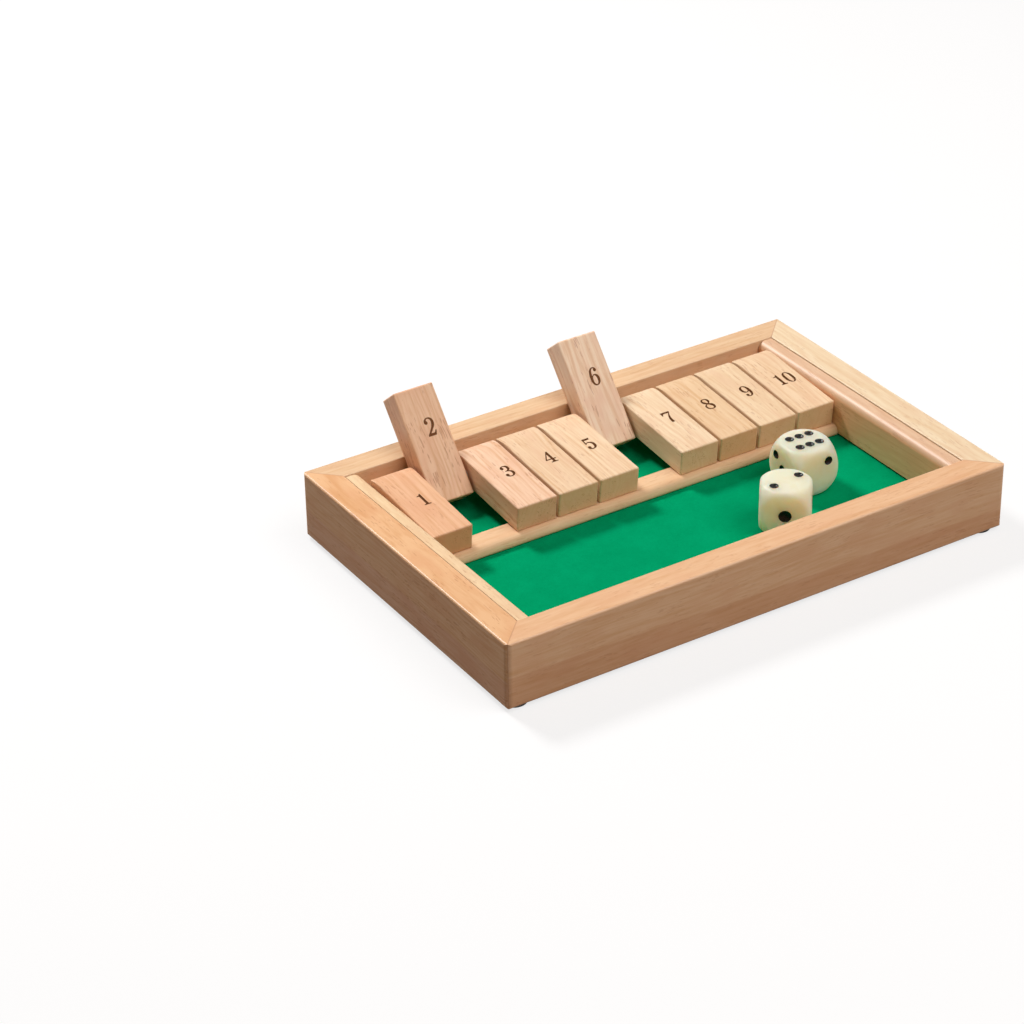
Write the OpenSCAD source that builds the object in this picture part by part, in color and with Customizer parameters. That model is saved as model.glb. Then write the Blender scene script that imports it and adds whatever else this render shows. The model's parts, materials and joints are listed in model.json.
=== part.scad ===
// Shut the box game: a mitred wooden case with a felt-lined dice tray, ten numbered
// tiles hinged on one rod, and two dice. Tiles 2 and 6 stand open, the others are shut.
// X runs along the row from tile 1 to tile 10, Y from front to back, Z up. The origin
// is the middle of the bounding box, on the surface that the feet stand on.

/* [Case] */
// Depth of the case, front to back
case_d = 116; // [108:1:130]
// Height of the wooden frame
case_h = 21.8; // [21:0.2:26]
// Thickness of the four frame rails
rail_w = 9.5; // [8:0.5:12]
// Rounding of the frame's vertical corners
corner_r = 1.8; // [0.6:0.1:3]
// Rounding of the rails' outer long edges
rail_edge_r = 0.7; // [0.4:0.1:2]
// Rounding of the rails' inner top edges
rail_inner_r = 0.4; // [0.2:0.1:1]
// Thickness of the plywood base panel
base_t = 3; // [2.4:0.1:3.6]
// Height of the base panel above the rails' bottom faces
base_rise = 3; // [2:0.1:4]
// Depth of the groove that holds the base panel
groove_d = 4; // [3:0.1:5]
// Diameter of each foot
foot_d = 8; // [6:0.5:9]
// Thickness of each foot
foot_t = 1.3; // [0.8:0.1:2]
// Distance of each foot's middle from the case's outer faces
foot_inset = 5.3; // [5:0.1:8]

/* [Lining] */
// Thickness of the felt sheet
felt_t = 0.8; // [0.6:0.1:1.2]
// Thickness of the two side liners, which carry the rod
liner_t = 5; // [4:0.1:7]
// Width of the seam between each liner and the rail behind it
liner_seam = 0.3; // [0.1:0.05:0.5]
// Drop of the liners' tops below the rails' tops
liner_drop = 0.4; // [0.2:0.1:1]
// Rounding of the liners' inner top edges
liner_r = 2.6; // [1:0.1:3.2]
// Depth of the rebate along each liner's foot that the felt is tucked into
tuck_d = 1.2; // [0.8:0.1:2]
// Height of that rebate above the felt
tuck_h = 0.7; // [0.3:0.1:1.2]
// Width of the strip that the shut tiles rest on, front to back
strip_w = 9.1; // [7:0.1:11]
// Height of the strip above the felt
strip_h = 3.4; // [2.6:0.1:4]
// Rounding of the strip's front top edge
strip_r = 2.4; // [1:0.1:2.4]
// Easing of the strip's other long edges
strip_ease_r = 0.9; // [0.4:0.1:1]
// Length of strip in front of the shut tiles
strip_lip = 2.4; // [2:0.1:3.5]

/* [Tiles] */
// Width of one tile
tile_w = 14; // [11:0.1:15]
// Length of one tile
tile_l = 36.4; // [34:0.2:39]
// Thickness of one tile
tile_t = 8.6; // [8:0.1:9.4]
// Gap between neighbouring tiles
tile_gap = 1; // [0.6:0.1:2]
// Gap between each end tile and the liner beside it
end_gap = 0.65; // [0.4:0.05:2]
// Easing of every tile edge
tile_r = 0.5; // [0.2:0.1:0.8]
// Length of tile behind the rod
tail_l = 6.5; // [5.5:0.1:7.5]
// Radius of the curve over the tail
tail_r = 20; // [14:1:40]
// Depth of the bore's axis below the tile's top face
bore_depth = 5.2; // [4.6:0.1:5.6]

/* [Rod] */
// Diameter of the steel rod
rod_d = 3; // [2:0.1:3.4]
// Height of the rod's axis above the felt
rod_rise = 9.4; // [9:0.1:10.4]
// Distance from the rod's axis to the back rail
rod_back = 11.3; // [10.6:0.1:12.4]

/* [Dice] */
// Width of a die
die_w = 16; // [12:0.5:18]
// Diameter of the ball that rounds the die's corners
die_ball_d = 21.6; // [19.5:0.1:24]
// Diameter of a pip
pip_d = 2.9; // [2:0.1:3.4]
// Diameter of the single pip on the one
ace_d = 4; // [3:0.1:5]
// Depth of the pips
pip_deep = 0.6; // [0.3:0.1:1]
// Distance of the outer pips from the middle of a face
pip_out = 3.6; // [3:0.1:4.2]
// Distance of the front die from the right liner
front_die_side = 47.4; // [44:0.2:60]
// Distance of the front die from the front rail
front_die_front = 18.6; // [15:0.2:20]
// Turn of the front die about the vertical
front_die_turn = -38.2; // [-60:0.2:0]
// Distance of the rear die from the right liner
rear_die_side = 28.2; // [16:0.2:30]
// Distance of the rear die from the front rail
rear_die_front = 35; // [33:0.2:40]
// Turn of the rear die about the vertical
rear_die_turn = -2.4; // [-40:0.2:40]

/* [Clearances] */
// Running clearance round the rod in the tiles, on the radius
rod_clear = 0.1; // [0.05:0.01:0.15]
// Fitting clearance round the rod in the liners, on the radius
rod_fit = 0.02; // [0.01:0.01:0.05]
// Gap where a moving piece comes to rest on a fixed one
rest_gap = 0.05; // [0.02:0.01:0.1]
// Gap at each end of a piece fitted between two others
fit_gap = 0.2; // [0.1:0.05:0.4]

/* [Hidden] */
$fn = 64;

TILE_COUNT = 10;
OPEN_TILES = [2, 6];

wood = "burlywood";
pale_wood = "wheat";
ivory = "ivory";

// The row of tiles sets the width of the case
tile_pitch = tile_w + tile_gap;
tray_w = TILE_COUNT * tile_pitch - tile_gap + 2 * end_gap;
inner_w = tray_w + 2 * (liner_t + liner_seam);
inner_d = case_d - 2 * rail_w;
case_w = inner_w + 2 * rail_w;

// Heights above the rails' bottom faces
base_top = base_rise + base_t;
felt_top = base_top + felt_t;
strip_top = felt_top + strip_h;
liner_top = case_h - liner_drop;
rod_z = felt_top + rod_rise;
rod_y = inner_d / 2 - rod_back;

// A shut tile tilts until its rounded front bottom edge meets the strip
front_l = tile_l - tail_l;
below_bore = tile_t - bore_depth;
toe_y = front_l - tile_r;
toe_z = below_bore - tile_r;
toe_drop = rod_z - strip_top - rest_gap - tile_r;
shut_tilt = asin(toe_drop / norm([toe_y, toe_z])) - atan2(toe_z, toe_y);
tile_front = rod_y - toe_y * cos(shut_tilt) + toe_z * sin(shut_tilt) - tile_r;
strip_front = tile_front - strip_lip;

// An open tile leans with its top face on the back rail's rounded inner edge
lean_y = rod_back + rail_inner_r;
lean_z = case_h - rail_inner_r - rod_z;
lean_reach = bore_depth + rail_inner_r + rest_gap;
open_lean = atan2(lean_z, lean_y) + asin(lean_reach / norm([lean_y, lean_z]));
open_swing = 180 - open_lean + shut_tilt;

// The open tiles reach past the back of the case, so the case sits forward of the origin
tip_y = rod_y + toe_y * cos(open_lean) + (bore_depth - tile_r) * sin(open_lean) + tile_r;
case_y = -max(0, tip_y - case_d / 2) / 2;

function tile_x(number) = (number - (TILE_COUNT + 1) / 2) * tile_pitch;
function is_open(number) = len(search(number, OPEN_TILES)) > 0;

// Puts a piece drawn in the case's own frame into the part's frame
module in_case() translate([0, case_y, foot_t]) children();

// A rectangle with its lower left corner at the origin and rounded corners
module rounded_rect(width, height, radius) {
    translate([radius, 0]) square([width - 2 * radius, height]);
    translate([0, radius]) square([width, height - 2 * radius]);
    for (x = [radius, width - radius], y = [radius, height - radius])
        translate([x, y]) circle(radius);
}

// Draws a YZ section and runs it along X, centred
module along_x(length) rotate([90, 0, 90]) linear_extrude(length, center = true) children();

// Section of a rail: Y from the outer face inwards, Z up
module rail_section() {
    intersection() {
        rounded_rect(rail_w + case_h, case_h, rail_edge_r);
        translate([-case_h, -case_h]) rounded_rect(rail_w + case_h, 2 * case_h, rail_inner_r);
    }
}

// Plan of a rail with mitred ends and its half of each rounded corner
module rail_plan(length) {
    intersection() {
        polygon([[-length / 2, 0], [length / 2, 0],
                 [length / 2 - rail_w, rail_w], [-length / 2 + rail_w, rail_w]]);
        translate([-length / 2, 0]) rounded_rect(length, length, corner_r);
    }
}

// One mitred rail, outer face on the X axis and inner face towards +Y, grooved for the base
module rail(length) {
    difference() {
        intersection() {
            along_x(length) rail_section();
            linear_extrude(case_h) rail_plan(length);
        }
        translate([-length / 2, rail_w - groove_d, base_rise])
            cube([length, 2 * groove_d, base_t]);
    }
}

module front_rail() {
    color(wood) in_case() translate([0, -case_d / 2, 0]) rail(case_w);
}

module back_rail() {
    color(wood) in_case() translate([0, case_d / 2, 0]) rotate([0, 0, 180]) rail(case_w);
}

module left_rail() {
    color(wood) in_case() translate([-case_w / 2, 0, 0]) rotate([0, 0, -90]) rail(case_d);
}

module right_rail() {
    color(wood) in_case() translate([case_w / 2, 0, 0]) rotate([0, 0, 90]) rail(case_d);
}

// Plywood panel held in the rails' grooves
module base_panel() {
    panel_w = inner_w + 2 * (groove_d - fit_gap);
    panel_d = inner_d + 2 * (groove_d - fit_gap);
    color(pale_wood) in_case()
        translate([-panel_w / 2, -panel_d / 2, base_rise]) cube([panel_w, panel_d, base_t]);
}

// Green felt glued to the base, its side edges tucked into the liners' rebates
module felt_sheet() {
    felt_w = tray_w + 2 * (tuck_d - fit_gap);
    felt_d = inner_d - 2 * fit_gap;
    color("seagreen") in_case()
        translate([-felt_w / 2, -felt_d / 2, base_top]) cube([felt_w, felt_d, felt_t]);
}

// Section of a liner: X from the rail inwards, Z up, rounded at the top, rebated at the foot
module liner_section() {
    liner_h = liner_top - base_top;
    difference() {
        intersection() {
            square([liner_t, liner_h]);
            translate([-liner_h, -liner_h]) rounded_rect(liner_t + liner_h, 2 * liner_h, liner_r);
        }
        translate([liner_t - tuck_d, -felt_t]) square([2 * tuck_d, 2 * felt_t + tuck_h]);
    }
}

// Side liner bored for the rod. side is -1 left, 1 right
module liner(side) {
    liner_d = inner_d - 2 * fit_gap;
    color(wood) in_case() difference() {
        translate([side * (inner_w / 2 - liner_seam), 0, base_top])
            mirror([side > 0 ? 1 : 0, 0, 0])
            rotate([90, 0, 0]) linear_extrude(liner_d, center = true) liner_section();
        translate([0, rod_y, rod_z]) along_x(case_w) circle(rod_d / 2 + rod_fit);
    }
}

// Strip across the tray on which the shut tiles rest
module divider_strip() {
    color(pale_wood) in_case() translate([0, strip_front, felt_top])
        along_x(tray_w - 2 * fit_gap) intersection() {
            rounded_rect(strip_w, strip_h, strip_ease_r);
            translate([0, -strip_h]) rounded_rect(2 * strip_w, 2 * strip_h, strip_r);
        }
}

// Steel rod through the liners and all ten tiles, with chamfered ends
module pivot_rod() {
    rod_l = inner_w - 2 * (liner_seam + fit_gap);
    bevel = rod_d / 8;
    color("silver") in_case() translate([0, rod_y, rod_z]) rotate([0, 90, 0])
        rotate_extrude() polygon([[0, -rod_l / 2], [rod_d / 2 - bevel, -rod_l / 2],
                                  [rod_d / 2, -rod_l / 2 + bevel], [rod_d / 2, rod_l / 2 - bevel],
                                  [rod_d / 2 - bevel, rod_l / 2], [0, rod_l / 2]]);
}

// Four round pads under the mitres
module feet() {
    foot_x = case_w / 2 - foot_inset;
    foot_y = case_d / 2 - foot_inset;
    color("dimgray") translate([0, case_y, 0]) for (x = [-foot_x, foot_x], y = [-foot_y, foot_y])
        translate([x, y, 0]) cylinder(h = foot_t, d = foot_d);
}

// Side view of a tile about the bore: front end towards -Y, tail rounded over the top
module tile_section() {
    intersection() {
        translate([-front_l, -below_bore]) rounded_rect(tile_l, tile_t, tile_r);
        union() {
            translate([-front_l, -below_bore]) square([front_l, tile_t]);
            translate([0, bore_depth - tail_r]) circle(tail_r, $fn = 180);
        }
    }
}

// One tile about its bore, with every edge eased
module tile_blank() {
    difference() {
        intersection() {
            along_x(tile_w) tile_section();
            translate([-tile_w / 2, -front_l, -below_bore]) linear_extrude(tile_t)
                rounded_rect(tile_w, tile_l, tile_r);
            translate([-tile_w / 2, tail_l, -below_bore]) rotate([90, 0, 0])
                linear_extrude(tile_l) rounded_rect(tile_w, tile_t, tile_r);
        }
        along_x(2 * tile_w) circle(rod_d / 2 + rod_clear);
    }
}

module tile(number) {
    angle = is_open(number) ? shut_tilt - open_swing : shut_tilt;
    color(pale_wood) in_case() translate([tile_x(number), rod_y, rod_z])
        rotate([angle, 0, 0]) tile_blank();
}

// Pip places on a face for each count, in steps of pip_out from its middle
PIPS = [[[0, 0]],
        [[1, 1], [-1, -1]],
        [[-1, 1], [0, 0], [1, -1]],
        [[1, 1], [1, -1], [-1, 1], [-1, -1]],
        [[1, 1], [1, -1], [0, 0], [-1, 1], [-1, -1]],
        [[1, 0.8], [0, 0.8], [-1, 0.8], [1, -0.8], [0, -0.8], [-1, -0.8]]];

// Turns that carry the top face to where each count sits: one below, six on top
FACE_TURNS = [[180, 0, 0], [90, 0, 0], [90, 0, -90], [90, 0, 90], [-90, 0, 0], [0, 0, 0]];

// Pips of one count, sunk into the top face of a die centred on the origin
module pips(count) {
    wide = count == 1 ? ace_d : pip_d;
    ball = (wide * wide / 4 + pip_deep * pip_deep) / (2 * pip_deep);
    for (place = PIPS[count - 1])
        translate([place.x * pip_out, place.y * pip_out, die_w / 2 - pip_deep + ball]) sphere(ball);
}

// A die centred on the origin: a cube with its corners rounded by a ball
module die_blank() {
    color(ivory) difference() {
        intersection() {
            cube(die_w, center = true);
            sphere(d = die_ball_d, $fn = 96);
        }
        for (count = [1 : 6]) rotate(FACE_TURNS[count - 1]) pips(count);
    }
}

// Sets a die down on the felt, measured from the right liner and the front rail
module on_felt(side, front, turn) {
    in_case() translate([tray_w / 2 - side, front - inner_d / 2, felt_top + die_w / 2 + rest_gap])
        rotate([0, 0, turn]) children();
}

module die_front() {
    on_felt(front_die_side, front_die_front, front_die_turn) rotate([-90, 0, 0]) die_blank();
}

module die_rear() {
    on_felt(rear_die_side, rear_die_front, rear_die_turn) die_blank();
}

front_rail();
back_rail();
left_rail();
right_rail();
base_panel();
felt_sheet();
liner(-1);  // left_liner
liner(1);  // right_liner
divider_strip();
pivot_rod();
feet();
for (number = [1 : TILE_COUNT])
    tile(number);
die_front();
die_rear();
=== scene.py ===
# %% [markdown]
# # A shut the box game
#
# The game is a shallow wooden case. Ten numbered tiles hang on one steel rod at the back
# of its tray, and two dice are rolled on the felt in front of them. The solids come from a
# CAD model, so this lesson is about what the solids lack: the grain and pores of the wood,
# the lacquer over it, the nap of the felt, the printed numbers and the black pips.
#
# Lengths are in metres and the CAD model fixes the frame: X runs along the row of tiles,
# Y from the player to the back, Z up, and the feet stand at height zero.

# %% Load the solids
import json
from math import acos, cos, pi, radians, sin

import bmesh
import bpy
from mathutils import Matrix, Vector, noise


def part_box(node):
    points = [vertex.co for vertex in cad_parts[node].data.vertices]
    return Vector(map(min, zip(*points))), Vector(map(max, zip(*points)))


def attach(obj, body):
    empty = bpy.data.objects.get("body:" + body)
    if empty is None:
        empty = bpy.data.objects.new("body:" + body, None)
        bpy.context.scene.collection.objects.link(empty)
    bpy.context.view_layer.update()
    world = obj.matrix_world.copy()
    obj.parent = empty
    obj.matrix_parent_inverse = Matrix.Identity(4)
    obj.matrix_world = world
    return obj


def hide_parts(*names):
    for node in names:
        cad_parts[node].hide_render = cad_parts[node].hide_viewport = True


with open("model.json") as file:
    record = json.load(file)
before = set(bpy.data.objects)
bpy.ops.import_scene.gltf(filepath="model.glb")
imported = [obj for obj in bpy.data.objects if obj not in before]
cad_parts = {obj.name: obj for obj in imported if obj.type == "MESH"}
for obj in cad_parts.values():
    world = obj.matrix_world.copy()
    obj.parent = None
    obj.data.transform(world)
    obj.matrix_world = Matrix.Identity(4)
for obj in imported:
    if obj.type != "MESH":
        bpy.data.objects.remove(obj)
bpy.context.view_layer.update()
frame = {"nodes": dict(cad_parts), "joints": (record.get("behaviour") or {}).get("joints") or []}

scene = bpy.context.scene
nodes = frame["nodes"]
MM = 0.001

# %% [markdown]
# ## The camera
#
# The picture looks down on the near corner at about thirty degrees through a long lens,
# which keeps the rails almost parallel. A camera object looks along its own -Z axis, so
# three angles and a place are all it needs.

# %% Place the camera
CAMERA_PLACE = (-0.47882, -0.68388, 0.50760)
CAMERA_DEGREES = (59.056, 0.884, -32.593)
SENSOR_MM, LENS_MM = 36, 111.45
NEAREST_SEEN = 0.05
camera_data = bpy.data.cameras.new("long_lens")
camera_data.sensor_width, camera_data.lens = SENSOR_MM, LENS_MM
camera_data.clip_start = NEAREST_SEEN
camera = bpy.data.objects.new("camera", camera_data)
camera.location = CAMERA_PLACE
camera.rotation_euler = [radians(angle) for angle in CAMERA_DEGREES]
scene.collection.objects.link(camera)
scene.camera = camera
print("camera is", round(camera.location.length, 3), "m from the game")

# %% [markdown]
# ## Writing shader maths as sums
#
# A procedural finish is a formula: how dark is the wood at this point? Laying such a
# formula out as Math nodes by hand soon gets hard to read. This class wraps one socket of
# a node tree, and Python's own operators add the Math nodes, so a formula can be written
# as it would be on paper. The add method makes any other node.

# %% A socket that can be reckoned with
class Shade:
    """One output socket of a material's nodes."""

    def __init__(self, tree, socket=None):
        self.tree, self.socket = tree, socket

    def add(self, kind, inputs, settings=(), output=0):
        """Adds a node, sets it up, and returns one of its outputs."""
        node = self.tree.nodes.new("ShaderNode" + kind)
        for key, value in dict(settings).items():
            setattr(node, key, value)
        for key, value in inputs.items():
            if isinstance(value, Shade):
                self.tree.links.new(value.socket, node.inputs[key])
            else:
                node.inputs[key].default_value = value
        return Shade(self.tree, node.outputs[output])

    def math(self, operation, *values):
        inputs = dict(enumerate(values))
        return self.add("Math", inputs, {"operation": operation})

    def __add__(self, other):
        return self.math("ADD", self, other)

    def __sub__(self, other):
        return self.math("SUBTRACT", self, other)

    def __rsub__(self, other):
        return self.math("SUBTRACT", other, self)

    def __mul__(self, other):
        return self.math("MULTIPLY", self, other)

    def __abs__(self):
        return self.math("ABSOLUTE", self)

    __radd__, __rmul__ = __add__, __mul__

    def rise(self, low, high, start=0.0, end=1.0):
        """Climbs smoothly from start to end while this goes from low to high."""
        inputs = {0: self, 1: low, 2: high, 3: start, 4: end}
        return self.add("MapRange", inputs, {"interpolation_type": "SMOOTHSTEP"})

    def blend(self, first, second):
        """Mixes two colours, with this as the share of the second."""
        settings = {"data_type": "RGBA"}
        return self.add("Mix", {0: self, 6: first, 7: second}, settings, output=2)

    def times(self, other, share=1.0):
        """This colour, with so large a share of it multiplied by another colour."""
        settings = {"data_type": "RGBA", "blend_type": "MULTIPLY"}
        return self.add("Mix", {0: share, 6: self, 7: other}, settings, output=2)

    def part(self, axis):
        """The X, Y or Z of this vector."""
        return self.add("SeparateXYZ", {0: self}, output=axis)

    def shifted(self, offset):
        return self.add("VectorMath", {0: self, 1: offset}, {"operation": "ADD"})

    def stretched(self, across, along, deep):
        """This vector with each axis counted in steps of so many millimetres."""
        steps = (1 / across, 1 / along, 1 / deep)
        return self.add("VectorMath", {0: self, 1: steps}, {"operation": "MULTIPLY"})

    def noise(self, detail=2.0, roughness=0.5, bend=0.0):
        inputs = {"Vector": self, "Scale": 1.0, "Detail": detail,
                  "Roughness": roughness, "Distortion": bend}
        return self.add("TexNoise", inputs)


print("sockets can be reckoned with")

# %% [markdown]
# Every material starts from the same thing: the place of the shaded point in the object's
# own frame. These helpers make a material, count that place in millimetres, turn a height
# into a bump, and feed the results to the Principled shader.

# %% Helpers that every material uses
def colour(red, green, blue):
    return (red, green, blue, 1.0)


def new_material(name):
    """A material, its shader, and the shaded point in metres."""
    material = bpy.data.materials.new(name)
    material.use_nodes = True
    shader = material.node_tree.nodes["Principled BSDF"]
    point = Shade(material.node_tree).add("TexCoord", {}, output="Object")
    return material, shader, point


def in_millimetres(point, place=(0, 0, 0), turn=(0, 0, 0)):
    """The point counted in millimetres from a place, along axes turned by three angles."""
    inputs = {"Vector": point, "Location": place, "Rotation": turn, "Scale": (MM, MM, MM)}
    return point.add("Mapping", inputs, {"vector_type": "TEXTURE"})


def feed(shader, **inputs):
    """Sets or links the shader's inputs, which are named with _ for a space."""
    for key, value in inputs.items():
        socket = shader.inputs[key.replace("_", " ")]
        if isinstance(value, Shade):
            value.tree.links.new(value.socket, socket)
        else:
            socket.default_value = value


def bump(height, depth):
    """A normal from a height of 0 to 1 that stands for so many millimetres."""
    inputs = {"Height": height, "Distance": depth * MM, "Strength": 1.0}
    return height.add("Bump", inputs)


print("material helpers ready")

# %% [markdown]
# ## Lacquered rubberwood
#
# Rubberwood is pale and a little pink. Three things make it look like wood and not like
# beige paint. Growth layers are shells around the heart of the tree, so they show as long
# soft bands on a face and as arcs on an end. Fine fibre lines run the whole length. The
# pores are tubes, which a saw opens into short dark dashes on a face and dots on an end.
#
# All three can be functions of a point in space, so every face of a piece agrees with its
# neighbours at the edges, as in real timber. A Mapping node first turns the point so that
# Y lies along the grain and millimetres are the unit. For tiles it also moves the point to
# the tile's own bore, so a tile that stands open carries its grain with it.

# %% What wood is made of
# Lengths in the wood are in millimetres
SEED_STEPS = (37.7, 91.3, 53.9)
LAYER_SWAY, LAYERS_PER_MM = 9.0, 0.20
PORE_WIDE, PORE_LONG, PORE_SWAY = 0.62, 5.2, 2.4
NO_PORE, LARGE_PORE, PORE_BLUR = 0.02, 0.34, 0.10
SEAM_SWAY, SEAM_BLUR = 2.0, 0.4
LINE_CORE, LINE_EDGE = 0.10, 0.34
rails = [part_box(f"{side}_rail") for side in ("front", "back", "left", "right")]
case_low = [min(box[0][axis] for box in rails) for axis in range(2)]
case_high = [max(box[1][axis] for box in rails) for axis in range(2)]
CASE_MIDDLE = [(low + high) / 2 for low, high in zip(case_low, case_high)]
CASE_HALF = [(high - low) / 2 for low, high in zip(case_low, case_high)]


def end_grain(normal, turn):
    """1 where the face looks along the grain."""
    facing = normal.add("Mapping", {"Vector": normal, "Rotation": turn},
                        {"vector_type": "TEXTURE"}).part("Y")
    return (facing * facing).rise(0.55, 0.9)


def growth_layers(local, moved, heart, seed):
    """Shells about the heart of the tree, bent by a slow noise."""
    sway = moved.stretched(14, 60, 14).noise(2.0) * LAYER_SWAY
    across, deep = local.part("X") + heart[0], local.part("Z") + heart[1]
    squared = across * across + deep * deep
    shell = squared.math("SQRT", squared) + sway
    inputs = {"W": shell * LAYERS_PER_MM + seed * 11, "Detail": 1.0, "Roughness": 0.4}
    return shell.add("TexNoise", inputs, {"noise_dimensions": "1D"})


def open_pores(moved):
    """1 inside a pore: wavy cells drawn out along the grain, some of them empty."""
    wave = moved.stretched(3, 5, 3).noise(2.0)
    cells = moved.stretched(PORE_WIDE, PORE_LONG, PORE_WIDE).shifted(wave * PORE_SWAY)
    inputs = {"Vector": cells, "Scale": 1.0, "Randomness": 1.0}
    distance = cells.add("TexVoronoi", inputs, {"feature": "F1"}, output="Distance")
    crowd = moved.stretched(3.5, 12, 3.5).noise(2.0)
    size = crowd.rise(0.40, 0.66, NO_PORE, LARGE_PORE)
    return (distance - size).rise(PORE_BLUR, -PORE_BLUR)


def two_tints(local, offset, tint, board_and_painted_face):
    """One tint above a wavering line along the grain and another below it."""
    height, climb, lower_tint = board_and_painted_face
    wander = local.stretched(5, 60, 5).shifted(offset).noise(2.0)
    edge = local.part("Z") - local.part("Y") * climb + (wander - 0.5) * SEAM_SWAY
    lower = edge.rise(height + SEAM_BLUR, height - SEAM_BLUR)
    return lower.blend(colour(*tint), colour(*lower_tint))


def mitre_lines(point):
    """1 on the joints at the corners of the case, as far from one wall as the other."""
    off = [abs(point.part(axis) - middle) - half
           for axis, middle, half in zip("XY", CASE_MIDDLE, CASE_HALF)]
    return abs(off[0] - off[1]).rise(LINE_EDGE * MM, LINE_CORE * MM)


def rounded_edges(normal):
    """1 between the sides and the top, where the face looks neither level nor up."""
    upward = normal.part("Z")
    return upward.rise(0.35, 0.70) * upward.rise(0.995, 0.97)


print("case half:", [round(half, 4) for half in CASE_HALF])

# %% [markdown]
# The finish adds these up. Tints multiply the result, so one formula serves every piece.
# The lacquer is either part of the wood's own gloss or a coat of its own. On a mitred rail
# it gathers and shines on the rounded edges. End grain drinks more of it, so it is darker
# and browner.

# %% The wood finish
PALE = colour(0.880, 0.662, 0.452)
DEEP = colour(0.752, 0.484, 0.276)
PINK = colour(0.800, 0.520, 0.335)
FLECK = colour(0.520, 0.260, 0.150)
END_BROWN = colour(1.0, 0.76, 0.66)
CLEAR = (1.0, 1.0, 1.0)
PLAIN_SHINE, OPEN_SHINE = 0.12, 0.5
LACQUER_IOR = 1.5
LAYER_SHARE, STREAK_SHARE, FIBRE_SHARE, MEAN_TONE = 0.8, 1.3, 0.35, 0.40
PINK_SHARE, PORE_SHARE, LINE_SHARE, END_SHARE = 0.5, 0.40, 0.55, 0.85


def wood(name, place=(0, 0, 0), turn=(0, 0, 0), seed=0.0, heart=(60, 40), tint=CLEAR,
         contrast=1.0, pores=1.0, shine=PLAIN_SHINE, coat=0.0, coat_rough=0.40,
         board_and_painted_face=None, mitred=False):
    """Lacquered wood. heart is how far off the heart lies, in mm, across and down. shine
    is the wood's own gloss, coat the share of a second layer and coat_rough its roughness.
    board_and_painted_face is (height in mm, climb in mm per mm along, tint) of a second tint
    below it: a second board on the rails, and painted light on the right liner.
    mitred draws the joint lines at the corners of the case and coats the edges alone."""
    material, shader, point = new_material(name)
    normal = point.add("TexCoord", {}, output="Normal")
    local = in_millimetres(point, place, turn)
    offset = [seed * step for step in SEED_STEPS]
    moved = local.shifted(offset)

    end = end_grain(normal, turn)
    layers = growth_layers(local, moved, heart, seed)
    fibres = moved.stretched(0.5, 6, 0.5).noise(2.0, 0.55)
    streaks = moved.stretched(1.9, 17, 1.9).noise(3.0, 0.62, 0.8)
    clouds = moved.stretched(6, 15, 6).noise(2.0)
    pore = open_pores(moved)

    tone = ((layers - 0.5) * LAYER_SHARE + (streaks - 0.5) * STREAK_SHARE
            + (fibres - 0.5) * FIBRE_SHARE)
    tone = (tone * (contrast - end * (contrast * 0.7)) + MEAN_TONE).rise(0.0, 1.0)
    shade = tone.blend(PALE, DEEP)
    shade = (clouds.rise(0.46, 0.70) * (PINK_SHARE * contrast)).blend(shade, PINK)
    shade = (pore * (PORE_SHARE * pores)).blend(shade, FLECK)
    shade = shade.times(two_tints(local, offset, tint, board_and_painted_face) if board_and_painted_face
                        else colour(*tint))
    if mitred:
        shade = (mitre_lines(point) * LINE_SHARE).blend(shade, FLECK)
        coat = rounded_edges(normal)
    shade = shade.times(END_BROWN, end * END_SHARE)

    rough = 0.48 + (clouds - 0.5) * 0.12 + pore * 0.1 + end * 0.14
    height = fibres * 0.15 + (1 - pore) * 0.85
    feed(shader, Base_Color=shade, Roughness=rough, Normal=bump(height, 0.02),
         Specular_IOR_Level=shine, Coat_Weight=coat, Coat_Roughness=coat_rough,
         Coat_IOR=LACQUER_IOR)
    return material


def dress(node, material):
    """Gives a CAD solid its finish."""
    piece = nodes[node]
    piece.data.materials.clear()
    piece.data.materials.append(material)


print("wood finish ready")

# %% [markdown]
# ## The case
#
# The four rails are long strips with mitred ends, so each gets wood whose grain runs its
# own way, and the mitre shows as a change of grain and a fine dark line. Low on the outer
# faces the wood turns darker and redder, along a grain line that climbs a little. On the
# right liner the same split of tints is painted light: a darker top and a lighter inner
# face, standing in for the way light falls on its rounded top and face.

# %% Dress the case
ALONG_X = (0, 0, radians(90))
dress("front_rail", wood("front_rail_wood", turn=ALONG_X, seed=1.3, heart=(70, 22),
                         tint=(0.955, 0.82, 0.725), contrast=0.9, pores=0.6, mitred=True,
                         board_and_painted_face=(9.6, 0.023, (0.87, 0.68, 0.575))))
dress("back_rail", wood("back_rail_wood", turn=ALONG_X, seed=2.9, heart=(60, -25),
                        tint=(0.92, 0.87, 0.80), contrast=0.8, pores=0.6, mitred=True))
dress("left_rail", wood("left_rail_wood", seed=4.1, heart=(90, 30),
                        tint=(0.94, 0.76, 0.60), contrast=1.2, mitred=True,
                        board_and_painted_face=(10.4, 0.0, (0.90, 0.70, 0.60))))
dress("right_rail", wood("right_rail_wood", seed=5.7, heart=(-55, 28),
                         tint=(1.01, 1.10, 1.12), contrast=0.8, pores=0.7, mitred=True))
dress("left_liner", wood("left_liner_wood", seed=6.2, heart=(50, 35),
                         tint=(1.0, 1.02, 0.95)))
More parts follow.
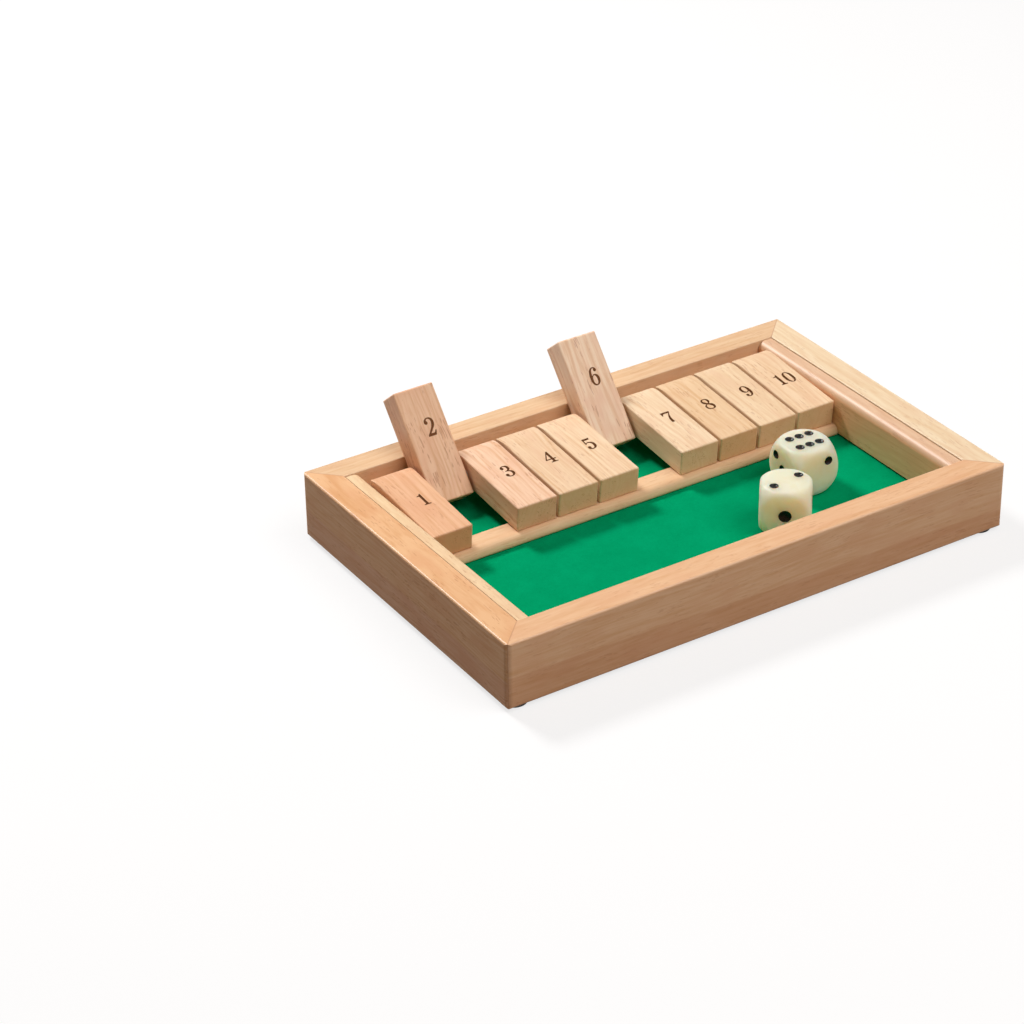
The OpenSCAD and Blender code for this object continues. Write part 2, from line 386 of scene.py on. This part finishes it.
# The right liner's two tints are painted light: its top is darker and its inner face lighter
# than its wood, standing in for how light falls on its rounded top and face.
dress("right_liner", wood("right_liner_wood", seed=7.8, heart=(-40, 30),
                          tint=(0.83, 0.71, 0.62), shine=0.4, coat=1.0, coat_rough=0.46,
                          board_and_painted_face=(20.9, 0.0, (1.03, 0.79, 0.64))))
dress("divider_strip", wood("strip_wood", turn=ALONG_X, seed=8.4, heart=(45, 60),
                            tint=(0.95, 0.89, 0.83), contrast=0.7, pores=0.6))
dress("base_panel", wood("base_wood", turn=ALONG_X, seed=9.1, heart=(20, 70),
                         contrast=0.6, pores=0.4))
print("case dressed")

# %% [markdown]
# ## The tiles
#
# Every tile was sawn from a different stick, so each has its own seed, heart and tint. A
# tile's grain is worked out about its bore, turned to the angle at which it stands.

# %% Dress the tiles
TILE_COUNT = 10
OPEN_TILES = (2, 6)
SHUT_TILT = radians(4.997)
OPEN_SWING = radians(134.849)
hinge = {joint["child"]: Vector(joint["pos_m"]) for joint in frame["joints"]
         if joint["type"] == "hinge"}


def tile_angle(number):
    return SHUT_TILT - OPEN_SWING if number in OPEN_TILES else SHUT_TILT


TILE_TINTS = {1: (0.955, 0.78, 0.71), 2: (1.05, 0.90, 0.84), 3: (1.03, 0.96, 1.0),
              4: (1.0, 1.0, 1.0), 5: (1.03, 1.05, 1.06), 6: (1.15, 1.15, 1.24),
              7: (1.03, 1.09, 1.12), 8: (0.96, 0.93, 0.86), 9: (1.0, 1.03, 1.02),
              10: (1.01, 1.02, 1.01)}
STREAKY = {2: 1.5, 3: 1.2, 6: 1.7}
TILE_SEED = 1.37
HEARTS = {1: (35, 12), 2: (28, 22), 3: (-45, 30), 4: (60, 20), 5: (-60, 8),
          6: (24, 16), 7: (55, 25), 8: (-30, 25), 9: (40, 45), 10: (-38, 14)}
for number in range(1, TILE_COUNT + 1):
    node = f"tile_{number}"
    dress(node, wood(f"{node}_wood", place=hinge[node], turn=(tile_angle(number), 0, 0),
                     seed=number * TILE_SEED, heart=HEARTS[number], tint=TILE_TINTS[number],
                     contrast=STREAKY.get(number, 1.0), pores=STREAKY.get(number, 1.0),
                     shine=OPEN_SHINE if number in OPEN_TILES else PLAIN_SHINE))
print("tiles dressed:", TILE_COUNT)

# %% [markdown]
# ## The printed numbers
#
# Each tile has its number on both faces, so it reads whether the tile is shut or open. The
# numerals are of a plain bookish kind, with thick and thin strokes, small feet and ball
# ends. A numeral is drawn as an outline of a few points: smooth points, where Blender finds
# the curve, and corners. The film of ink is thin but real geometry, so its edge stays
# crisp from any distance.

# %% Draw the numerals
# Each outline is a run of points on a grid 100 high. A third value of 1 marks a corner.
ZERO = [[(31, 100), (50, 89), (59, 50), (50, 10), (31, -1), (12, 10), (3, 50), (12, 89)],
        [(31, 95.5), (21, 86), (17, 50), (21, 13), (31, 3.5), (41, 13), (45, 50), (41, 86)]]
ONE = [[(13, 0, 1), (51, 0, 1), (51, 4.5, 1), (41, 6.5, 1), (38.5, 11, 1), (38.5, 100, 1),
        (34, 100, 1), (27, 90), (13, 86, 1), (13, 81.5, 1), (25.5, 82, 1), (25.5, 11, 1),
        (23, 6.5, 1), (13, 4.5, 1)]]
TWO = [[(6, 0, 1), (52, 0, 1), (58, 25, 1), (53.5, 25, 1), (47, 14), (22, 13.5, 1),
        (40, 33), (55, 53), (59, 73), (51, 92), (31, 100), (13, 94), (5, 79), (8, 69),
        (15, 66), (22, 70), (23, 78), (18, 86), (21, 92), (30, 95), (41, 89), (45, 73),
        (41, 55), (28, 34), (6, 6, 1)]]
THREE = [[(7, 84), (16, 96), (31, 100), (48, 95), (55, 77), (50, 61), (40, 52.5, 1),
          (54, 44), (60, 27), (52, 8), (30, -1), (12, 4), (4, 17), (7, 25), (14, 28),
          (21, 24), (22, 16), (19, 10), (29, 4), (41, 10), (46, 27), (41, 43),
          (27, 49.5, 1), (20, 49.5, 1), (20, 54, 1), (27, 54, 1), (37, 60), (41, 77),
          (37, 91), (29, 95.5), (20, 92), (23, 85), (23, 77), (16, 71), (9, 74)]]
FOUR = [[(22, 0, 1), (61, 0, 1), (61, 4.5, 1), (51, 6, 1), (48, 10, 1), (48, 26, 1),
         (62, 26, 1), (62, 32, 1), (48, 32, 1), (48, 100, 1), (42, 100, 1), (2, 32, 1),
         (2, 26, 1), (35, 26, 1), (35, 10, 1), (32, 6, 1), (22, 4.5, 1)],
        [(35, 32, 1), (35, 80, 1), (8, 32, 1)]]
FIVE = [[(12, 99, 1), (53, 99, 1), (50, 86, 1), (17, 86, 1), (15.5, 59, 1), (31, 65),
         (50, 57), (59, 34), (50, 9), (29, -1), (11, 4), (4, 16), (7, 25), (14, 28),
         (21, 24), (22, 16), (19, 10), (28, 4), (39, 11), (45, 33), (40, 53), (28, 59.5),
         (18, 56), (14, 50, 1), (10, 50, 1)]]
SIX = [[(55, 84), (49, 96), (36, 101), (17, 93), (6, 70), (3, 42), (7, 16.5), (17.5, 2),
        (32, -2), (51, 6.5), (60, 31), (52, 55), (35, 62), (25, 58.5), (19.5, 53, 1),
        (21.5, 75), (28, 89.5), (36, 94.5), (39.8, 92), (37, 85), (40.5, 76), (49.5, 75)],
       [(32, 55.3), (23, 48.5), (19, 31), (23, 11), (32, 4.7), (41, 12), (44, 30),
        (40, 48.5)]]
SEVEN = [[(5, 99, 1), (60, 99, 1), (60, 94, 1), (46, 66), (38, 36), (37, 0, 1),
          (22, 0, 1), (25, 34), (37, 62), (52, 86, 1), (20, 86), (12, 81), (9.5, 71, 1),
          (5, 71, 1)]]
EIGHT = [[(31, 100), (48, 95), (55, 78), (49, 62), (42, 53.5), (55, 43), (60, 26),
          (52, 6), (31, -1), (11, 6), (3, 25), (8, 40), (20, 50), (10, 62), (7, 77),
          (14, 94)],
         [(31, 95.5), (20, 90), (18, 78), (25, 67), (37, 57), (42, 66), (43, 79), (40, 91)],
         [(25, 46.5), (15, 37), (13, 24), (19, 9), (31, 3.5), (44, 9), (46, 21), (41, 32)]]
NINE = [[(63 - p[0], 99 - p[1], *p[2:]) for p in outline] for outline in SIX]
NUMERALS = [ZERO, ONE, TWO, THREE, FOUR, FIVE, SIX, SEVEN, EIGHT, NINE]
GRID, NUMERAL_WIDTH = 100, 62
CURVE_STEPS = 6
INK_HALF = 0.012 * MM
DIGIT_HEIGHT = 5.8 * MM
BOLDER = 0.06 * MM


def numeral_mesh(text, height):
    """A flat mesh of the digits, height tall, centred on the origin and facing +Z.
    The strokes are made a little bolder, but for the 6 and the 9, drawn bold already."""
    curve = bpy.data.curves.new(f"digits_{text}", "CURVE")
    curve.dimensions = "2D"
    curve.fill_mode = "BOTH"
    curve.resolution_u = CURVE_STEPS
    curve.extrude = INK_HALF
    curve.offset = 0 if text in "69" else BOLDER
    unit = height / GRID
    left = -NUMERAL_WIDTH * len(text) / 2
    for place, digit in enumerate(text):
        for outline in NUMERALS[int(digit)]:
            spline = curve.splines.new("BEZIER")
            spline.bezier_points.add(len(outline) - 1)
            spline.use_cyclic_u = True
            for point, (x, y, *corner) in zip(spline.bezier_points, outline):
                across = left + place * NUMERAL_WIDTH + x
                point.co = (across * unit, (y - GRID / 2) * unit, 0)
                kind = "VECTOR" if corner else "AUTO"
                point.handle_left_type = point.handle_right_type = kind
    drawn = bpy.data.objects.new(curve.name, curve)
    scene.collection.objects.link(drawn)
    bpy.context.view_layer.update()
    shape = drawn.evaluated_get(bpy.context.evaluated_depsgraph_get())
    mesh = bpy.data.meshes.new_from_object(shape)
    bpy.data.objects.remove(drawn)
    bpy.data.curves.remove(curve)
    return mesh


print("numerals:", len(NUMERALS))

# %% [markdown]
# The number on the top of a shut tile reads from the front and sits near the middle. On
# the other face it reads when the tile stands open, and sits nearer the free end. The ink
# on the open tiles is a lighter, browner copy of the ink: painted light on their faces.

# %% Print the tiles
ABOVE_BORE = 5.2 * MM
BELOW_BORE = 3.4 * MM
TOP_PRINT = -11.4 * MM
UNDER_PRINT = -16.9 * MM
PRINT_SIDE = 0.9 * MM
SLIPPED = {6: 0.8 * MM}
INK_RISE = 0.014 * MM


def ink(name, strong, worn):
    material, shader, point = new_material(name)
    wear = in_millimetres(point).stretched(0.12, 0.12, 0.12).noise(3.0, 0.7)
    shade = wear.rise(0.42, 0.76).blend(strong, worn)
    feed(shader, Base_Color=shade, Roughness=0.5 + wear * 0.2, Specular_IOR_Level=0.05)
    return material


def new_piece(name, mesh, material, body):
    piece = bpy.data.objects.new(name, mesh)
    scene.collection.objects.link(piece)
    mesh.materials.clear()
    mesh.materials.append(material)
    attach(piece, body)
    return piece


black_ink = ink("printing_ink", colour(0.080, 0.025, 0.006),
                colour(0.200, 0.095, 0.045))
# A lighter, browner copy of the ink, for the open tiles alone: painted light on their faces.
brown_ink = ink("painted_light_ink", colour(0.165, 0.060, 0.022), colour(0.330, 0.165, 0.085))
for number in range(1, TILE_COUNT + 1):
    node = f"tile_{number}"
    flat = numeral_mesh(str(number), DIGIT_HEIGHT)
    stand = Matrix.Translation(hinge[node]) @ Matrix.Rotation(tile_angle(number), 4, "X")
    top = stand @ Matrix.Translation((PRINT_SIDE, TOP_PRINT, ABOVE_BORE + INK_RISE))
    slip = UNDER_PRINT + SLIPPED.get(number, 0)
    under = (stand @ Matrix.Translation((PRINT_SIDE, slip, -BELOW_BORE - INK_RISE))
             @ Matrix.Rotation(pi, 4, "X"))
    both = bmesh.new()
    for print_place in (top, under):
        side = flat.copy()
        side.transform(print_place)
        both.from_mesh(side)
        bpy.data.meshes.remove(side)
    mesh = bpy.data.meshes.new(f"number_{number}")
    both.to_mesh(mesh)
    both.free()
    # The open tiles get the lighter copy of the ink, which is painted light.
    printed = brown_ink if number in OPEN_TILES else black_ink
    new_piece(f"number_{number}", mesh, printed, node)
print("numbers printed:", TILE_COUNT)

# %% [markdown]
# ## The felt
#
# Felt is pressed wool: a matt, even green with paler fibres lying every way. It is glued
# flat, so its shape is a thin slab, but its top isn't a plane. A grid of points lifted by a
# little noise gives the nap a soft unevenness, and a finer noise in the shader gives fuzz.

# %% Lay the felt
def felt_material():
    material, shader, point = new_material("green_felt")
    local = in_millimetres(point)
    broad = local.stretched(9, 9, 9).noise(3.0, 0.6)
    nap = local.stretched(0.55, 0.55, 0.55).noise(4.0, 0.7, 1.2)
    fibre = local.stretched(0.16, 0.16, 0.16).noise(2.0, 0.6, 2.5)
    tone = broad * 0.35 + nap * 0.65
    shade = tone.rise(0.32, 0.68).blend(colour(0.0004, 0.292, 0.116),
                                        colour(0.0012, 0.362, 0.154))
    shade = (fibre.rise(0.66, 0.80) * 0.20).blend(shade, colour(0.004, 0.48, 0.24))
    height = nap * 0.7 + fibre * 0.3
    feed(shader, Base_Color=shade, Roughness=0.95, Normal=bump(height, 0.14),
         Specular_IOR_Level=0.0)
    return material


low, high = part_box("felt_sheet")
width, depth = (high - low)[:2]
STEPS_X, STEPS_Y = 220, 142
cloth = bmesh.new()
bmesh.ops.create_grid(cloth, x_segments=STEPS_X, y_segments=STEPS_Y, size=0.5)
bmesh.ops.scale(cloth, vec=(width, depth, 1), verts=cloth.verts)
bmesh.ops.translate(cloth, vec=((low.x + high.x) / 2, (low.y + high.y) / 2, high.z),
                    verts=cloth.verts)
NAP, NAP_STEP, NAP_SUNK = 0.05 * MM, 2.4 * MM, 0.6
# How fast the layers of the noise fade, how much finer each is, and how many there are
FADE, FINER, OCTAVES = 0.6, 2.2, 3
for vert in cloth.verts:
    lift = noise.fractal(vert.co / NAP_STEP, FADE, FINER, OCTAVES)
    vert.co.z += NAP * (lift - NAP_SUNK)
rim = [edge for edge in cloth.edges if edge.is_boundary]
skirt = bmesh.ops.extrude_edge_only(cloth, edges=rim)["geom"]
for vert in (item for item in skirt if isinstance(item, bmesh.types.BMVert)):
    vert.co.z = low.z
bottom = [item for item in skirt if isinstance(item, bmesh.types.BMEdge)]
bmesh.ops.contextual_create(cloth, geom=bottom)
bmesh.ops.recalc_face_normals(cloth, faces=cloth.faces)
felt_mesh = bpy.data.meshes.new("felt")
cloth.to_mesh(felt_mesh)
cloth.free()
felt = new_piece("felt", felt_mesh, felt_material(), "case")
felt_mesh.shade_smooth()
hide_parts("felt_sheet")
print("felt faces:", len(felt_mesh.polygons))

# %% [markdown]
# ## The dice
#
# The dice are cast in ivory-coloured plastic, and light gets a long way into it. The pips
# are lined with a smooth black paint.

# %% The plastic and the paint
def ivory_plastic():
    material, shader, point = new_material("ivory_plastic")
    local = in_millimetres(point)
    swirl = local.stretched(7, 7, 7).noise(3.0, 0.5, 1.5)
    grain = local.stretched(0.5, 0.5, 0.5).noise(2.0)
    shade = swirl.rise(0.35, 0.65).blend(colour(0.98, 0.79, 0.56),
                                         colour(1.00, 0.82, 0.62))
    feed(shader, Base_Color=shade, Roughness=0.34 + grain * 0.12, Specular_IOR_Level=0.3,
         Normal=bump(grain, 0.004), Subsurface_Weight=1.0,
         Subsurface_Radius=(1.1, 0.7, 0.5), Subsurface_Scale=14.0 * MM)
    return material


def pip_paint():
    material, shader, point = new_material("pip_paint")
    ripple = in_millimetres(point).stretched(0.6, 0.6, 0.6).noise(2.0)
    shade = ripple.rise(0.3, 0.7).blend(colour(0.005, 0.004, 0.003),
                                        colour(0.012, 0.009, 0.007))
    feed(shader, Base_Color=shade, Roughness=0.10 + ripple * 0.08, Specular_IOR_Level=0.2)
    return material


ivory, paint = ivory_plastic(), pip_paint()
print("dice materials ready")

# %% [markdown]
# A die is a cube whose corners a ball has rounded off, then polished, so the edge between
# flat and ball is soft. A point of such a shape lies, on its own ray from the middle, where
# the nearest of the six walls and the ball is. Adding the seven distances with a high power
# gives nearly the nearest, but without the sharp change from one to the next.
#
# Each pip is cut with a plug: part of a ball, spun from a line.

# %% Shape a die and its pips
DIE, BALL = 16 * MM, 21.8 * MM
SOFTNESS, CUTS = 30, 47
PIP_OUT = 3.6 * MM
PIP_DEEP = 0.6 * MM
PIP_WIDE, ACE_WIDE = 2.9 * MM, 4.0 * MM
PAINT_LIFT = 0.02 * MM
PLUG_RINGS, PLUG_TURN_STEPS = 12, 40
SAME_SPOT = 0.0005 * MM
PIPS = [[(0, 0)], [(1, 1), (-1, -1)], [(-1, 1), (0, 0), (1, -1)],
        [(1, 1), (1, -1), (-1, 1), (-1, -1)],
        [(1, 1), (1, -1), (0, 0), (-1, 1), (-1, -1)],
        [(1, 0.8), (0, 0.8), (-1, 0.8), (1, -0.8), (0, -0.8), (-1, -0.8)]]
FACE_TURNS = [(180, 0), (90, 0), (90, -90), (90, 90), (-90, 0), (0, 0)]


def soft_cube():
    """The die before its pips are cut, about the origin."""
    shell = bmesh.new()
    bmesh.ops.create_cube(shell, size=2)
    bmesh.ops.subdivide_edges(shell, edges=shell.edges[:], cuts=CUTS, use_grid_fill=True)
    for vert in shell.verts:
        way = vert.co.normalized()
        walls = sum((abs(part) / (DIE / 2)) ** SOFTNESS for part in way)
        vert.co = way * (walls + (2 / BALL) ** SOFTNESS) ** (-1 / SOFTNESS)
    return shell


def pip_cutter(wide):
    """A round-bottomed plug that stands PIP_DEEP into the face and rises out of it."""
    ball = (wide * wide / 4 + PIP_DEEP * PIP_DEEP) / (2 * PIP_DEEP)
    middle = ball - PIP_DEEP
    last = acos(middle / ball) * 1.5
    plug = bmesh.new()
    angles = [last * step / PLUG_RINGS for step in range(PLUG_RINGS + 1)]
    line = [plug.verts.new((ball * sin(angle), 0, middle - ball * cos(angle)))
            for angle in angles]
    line.append(plug.verts.new((0, 0, line[-1].co.z)))
    for pair in zip(line, line[1:]):
        plug.edges.new(pair)
    bmesh.ops.spin(plug, geom=plug.verts[:] + plug.edges[:], axis=(0, 0, 1),
                   cent=(0, 0, 0), angle=2 * pi, steps=PLUG_TURN_STEPS, use_merge=True)
    bmesh.ops.remove_doubles(plug, verts=plug.verts, dist=SAME_SPOT)
    bmesh.ops.recalc_face_normals(plug, faces=plug.faces)
    return plug


print("a pip is", round(PIP_DEEP / MM, 2), "mm deep")

# %% [markdown]
# The plugs for all 21 pips are cut out of the cube in one go. The hollows' own faces can be
# told from the rest by their material, so a copy of them, lifted by a hair, is the paint.

# %% Cut the pips
FACE_OF_PLASTIC, FACE_OF_PAINT = 0, 1


def to_object(name, shape):
    """Turns a bmesh into an object with two material slots, and frees the bmesh."""
    mesh = bpy.data.meshes.new(name)
    shape.to_mesh(mesh)
    shape.free()
    mesh.materials.append(ivory)
    mesh.materials.append(paint)
    thing = bpy.data.objects.new(name, mesh)
    scene.collection.objects.link(thing)
    return thing


def cut_die():
    """The finished die and the paint in its pips, as two meshes about the origin."""
    plugs = bmesh.new()
    for count, (tip, spin) in zip(range(1, 7), FACE_TURNS):
        face = (Matrix.Rotation(radians(spin), 4, "Z")
                @ Matrix.Rotation(radians(tip), 4, "X"))
        for x, y in PIPS[count - 1]:
            plug = pip_cutter(ACE_WIDE if count == 1 else PIP_WIDE)
            plug.transform(face @ Matrix.Translation((x * PIP_OUT, y * PIP_OUT, DIE / 2)))
            loose = bpy.data.meshes.new("plug")
            plug.to_mesh(loose)
            plug.free()
            plugs.from_mesh(loose)
            bpy.data.meshes.remove(loose)
    for face in plugs.faces:
        face.material_index = FACE_OF_PAINT
    die, cutters = to_object("die_blank", soft_cube()), to_object("pip_cutters", plugs)
    cut = die.modifiers.new("pips", "BOOLEAN")
    cut.operation, cut.solver, cut.object = "DIFFERENCE", "EXACT", cutters
    bpy.context.view_layer.update()
    carved = die.evaluated_get(bpy.context.evaluated_depsgraph_get())
    whole = bpy.data.meshes.new_from_object(carved)
    for thing in (die, cutters):
        old = thing.data
        bpy.data.objects.remove(thing)
        bpy.data.meshes.remove(old)

    solid = bmesh.new()
    solid.from_mesh(whole)
    film = solid.copy()
    outside = [face for face in film.faces if face.material_index == FACE_OF_PLASTIC]
    bmesh.ops.delete(film, context="FACES", geom=outside)
    film.normal_update()
    for vert in film.verts:
        vert.co += vert.normal * PAINT_LIFT
    for edge in solid.edges:
        edge.smooth = len({face.material_index for face in edge.link_faces}) == 1
    film_mesh = bpy.data.meshes.new("pip_film")
    for shape, mesh in ((solid, whole), (film, film_mesh)):
        for face in shape.faces:
            face.material_index, face.smooth = FACE_OF_PLASTIC, True
        shape.to_mesh(mesh)
        shape.free()
    return whole, film_mesh


die_mesh, film_mesh = cut_die()
print("faces of a die:", len(die_mesh.polygons), "of its paint:", len(film_mesh.polygons))

# %% [markdown]
# The front die shows its 2 on top and has turned by more than a third of a right angle. The
# rear one shows its 6 and stands nearly square to the case.

# %% Lay the two dice
def die_stand(node, lay):
    """Where a die's own frame lies: its middle, and how it is turned."""
    low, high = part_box(node)
    return Matrix.Translation((low + high) / 2) @ lay


FRONT_LAY = (Matrix.Rotation(radians(-38.2), 4, "Z")
             @ Matrix.Rotation(radians(-90), 4, "X"))
REAR_LAY = Matrix.Rotation(radians(-2.4), 4, "Z")
for node, lay in (("die_front", FRONT_LAY), ("die_rear", REAR_LAY)):
    for name, shape, material in ((f"{node}_plastic", die_mesh, ivory),
                                  (f"{node}_pips", film_mesh, paint)):
        mesh = shape.copy()
        mesh.transform(die_stand(node, lay))
        piece = new_piece(name, mesh, material, node)
        if material is ivory:
            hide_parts(node)
    print(node, "is in place")
for mesh in (die_mesh, film_mesh):
    bpy.data.meshes.remove(mesh)

# %% [markdown]
# ## The metal and the feet
#
# The rod is drawn steel, which has fine lines along it. The pads under the corners are
# dark rubber.

# %% Dress the metal and the pads
def steel():
    material, shader, point = new_material("drawn_steel")
    local = in_millimetres(point)
    lines = local.stretched(12, 0.1, 0.1).noise(2.0)
    shade = lines.rise(0.3, 0.7).blend(colour(0.50, 0.49, 0.47), colour(0.62, 0.61, 0.60))
    feed(shader, Base_Color=shade, Metallic=1.0, Roughness=0.24 + lines * 0.2,
         Normal=bump(lines, 0.004))
    return material


def rubber():
    material, shader, point = new_material("pad_rubber")
    local = in_millimetres(point)
    grain = local.stretched(0.3, 0.3, 0.3).noise(3.0)
    shade = grain.rise(0.3, 0.7).blend(colour(0.030, 0.028, 0.026),
                                       colour(0.055, 0.050, 0.046))
    feed(shader, Base_Color=shade, Roughness=0.6 + grain * 0.2, Normal=bump(grain, 0.03))
    return material


dress("pivot_rod", steel())
dress("feet", rubber())
print("metal and pads dressed")

# %% [markdown]
# ## The studio
#
# The floor and the world look white to the camera and in reflections, through Light Path,
# but give less light than that to the game itself. The main lamp is small and stands
# behind, a little to the left, so the tiles' shadows fall forwards on the felt. A broad
# lamp in front, a little to the right, softens them, and a faint warm light comes from the
# whole room.

# %% Floor, world and lamps
def seen_white(tree):
    """1 for the camera and for reflections, and 0 for the light that falls on things."""
    camera_ray, glossy, through = [
        Shade(tree).add("LightPath", {}, output=f"Is {kind} Ray")
        for kind in ("Camera", "Glossy", "Transmission")]
    rays = camera_ray + glossy + through
    return rays.math("MINIMUM", rays, 1.0)


ROOM, WHITE = colour(1.0, 0.74, 0.63), colour(1.0, 1.0, 1.0)
ROOM_SHARE = 0.128
FLOOR_GREY, FLOOR_GLOW, FLOOR_HALF = colour(0.25, 0.25, 0.25), 0.75, 3.0
world = bpy.data.worlds.new("studio")
world.use_nodes = True
scene.world = world
tree = world.node_tree
tree.nodes.clear()
white = seen_white(tree)
sky = white.add("Background", {"Color": white.blend(ROOM, WHITE),
                               "Strength": white.rise(0, 1, ROOM_SHARE, 1.0)})
out = tree.nodes.new("ShaderNodeOutputWorld")
tree.links.new(sky.socket, out.inputs["Surface"])

floor_mesh = bpy.data.meshes.new("floor")
plane = bmesh.new()
bmesh.ops.create_grid(plane, x_segments=1, y_segments=1, size=FLOOR_HALF)
plane.to_mesh(floor_mesh)
plane.free()
floor = bpy.data.objects.new("floor", floor_mesh)
scene.collection.objects.link(floor)
floor_material = bpy.data.materials.new("white_floor")
floor_material.use_nodes = True
tree = floor_material.node_tree
tree.nodes.clear()
white = seen_white(tree)
paper = white.add("BsdfDiffuse", {"Color": FLOOR_GREY})
glow = white.add("Emission", {"Color": WHITE, "Strength": white * FLOOR_GLOW})
both = white.add("AddShader", {0: paper, 1: glow})
out = tree.nodes.new("ShaderNodeOutputMaterial")
tree.links.new(both.socket, out.inputs["Surface"])
floor_mesh.materials.append(floor_material)


def lamp(name, direction, distance, size, share, tint=CLEAR):
    """A round lamp aimed at the game. distance and size are in metres. share is the light
    that it gives to a face turned to it, where 1 shows a white face as white."""
    data = bpy.data.lights.new(name, "AREA")
    data.shape = "DISK"
    data.size = size
    data.energy = share * pi * pi * distance * distance
    data.color = tint
    lamp_object = bpy.data.objects.new(name, data)
    towards = Vector(direction).normalized()
    lamp_object.location = towards * distance
    lamp_object.rotation_euler = towards.to_track_quat("Z", "Y").to_euler()
    scene.collection.objects.link(lamp_object)
    print(name, "power", round(data.energy, 2), "W")


lamp("back_lamp", (-0.17, 0.62, 0.77), 0.9, 0.20, 0.71)
lamp("front_lamp", (0.25, -0.52, 0.82), 1.3, 1.1, 0.62, (1.0, 0.965, 0.94))
scene.view_settings.view_transform = "Standard"
